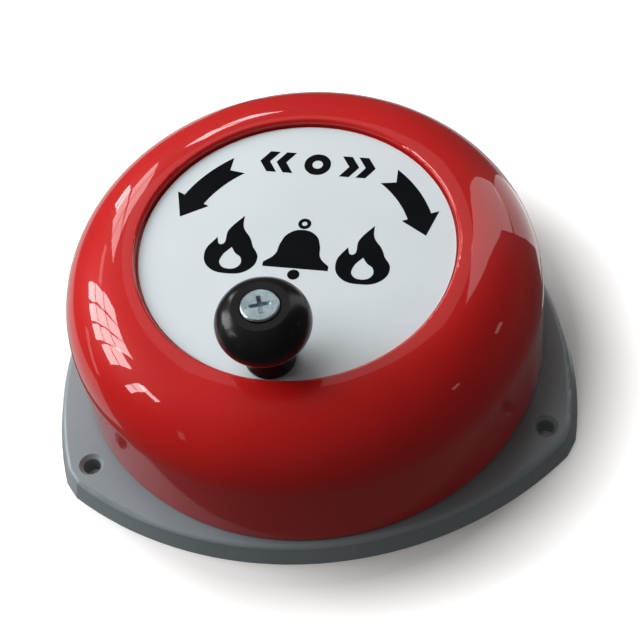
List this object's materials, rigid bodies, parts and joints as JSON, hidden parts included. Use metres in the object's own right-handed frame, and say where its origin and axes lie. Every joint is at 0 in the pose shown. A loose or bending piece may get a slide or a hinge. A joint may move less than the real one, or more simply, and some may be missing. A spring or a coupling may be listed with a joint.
{
  "type": "fire alarm bell",
  "caption": "Hand-turned wall bell: a red domed gong with an offset black knob spins on a grey plate and drives free hammers inside it.",
  "frame": {"origin": "centre of the circle of fixing holes, in the plate's back (wall) face, on the gong axis", "axes": "+Z along the gong axis, out of the wall towards the knob; +Y towards the top fixing corner"},
  "size_m": [0.2226, 0.2268, 0.11],
  "materials": {
    "plate_paint": "cast plate painted mid grey, semi-gloss with a fine texture",
    "gong_enamel": "pressed steel in high-gloss red enamel",
    "label_film": "printed satin film, cool white",
    "label_ink": "black screen print on the label",
    "knob_black": "polished black phenolic",
    "zinc_plate": "bright zinc plate, slightly blue",
    "bright_steel": "turned bright steel",
    "bronze": "sintered and machined bronze",
    "natural_nylon": "moulded natural nylon",
    "blue_nylon": "blue nylon locking ring"
  },
  "bodies": {
    "base": {"base_plate": "plate_paint", "spindle": "bright_steel", "spindle_washer": "zinc_plate", "spindle_nut": "zinc_plate", "thrust_washer": "bronze", "hub_washer": "zinc_plate", "hub_nut": "zinc_plate", "hub_nut_insert": "blue_nylon", "striker_post": "bright_steel", "pinion_washer": "natural_nylon", "post_washer": "zinc_plate", "post_clip": "bright_steel"},
    "gong": {"gong_shell": "gong_enamel", "gong_hub": "bright_steel", "lower_bush": "bronze", "upper_bush": "bronze", "drive_gear": "natural_nylon", "gear_screws": "zinc_plate", "hub_screws": "zinc_plate", "face_label": "label_film", "knob_sleeve": "zinc_plate", "knob_screw": "zinc_plate", "knob_washer": "zinc_plate", "knob_nut": "zinc_plate"},
    "knob": {"knob": "knob_black"},
    "rotor": {"pinion": "bright_steel", "rotor_plate": "zinc_plate", "hammer_pins": "bright_steel", "hammer_clips": "bright_steel"},
    "hammer_a": {"hammer_a": "bronze"},
    "hammer_b": {"hammer_b": "bronze"}
  },
  "joints": [
    {"name": "gong_spin", "type": "hinge", "parent": "base", "child": "gong", "pos_m": [0, 0, 0.04], "axis": [0, 0, 1], "continuous": true},
    {"name": "knob_spin", "type": "hinge", "parent": "gong", "child": "knob", "pos_m": [-0.01165, -0.05344, 0.09], "axis": [0, 0, 1], "continuous": true},
    {"name": "rotor_spin", "type": "hinge", "parent": "base", "child": "rotor", "pos_m": [0, 0.06, 0.03], "axis": [0, 0, 1], "continuous": true},
    {"name": "hammer_a_swing", "type": "hinge", "parent": "rotor", "child": "hammer_a", "pos_m": [0.02, 0.06, 0.0357], "axis": [0, 0, 1], "range_deg": [-130, 130]},
    {"name": "hammer_b_swing", "type": "hinge", "parent": "rotor", "child": "hammer_b", "pos_m": [-0.02, 0.06, 0.0357], "axis": [0, 0, 1], "range_deg": [-130, 130]}
  ],
  "couplings": [
    {"joint": "rotor_spin", "follows": "gong_spin", "ratio": -4}
  ]
}
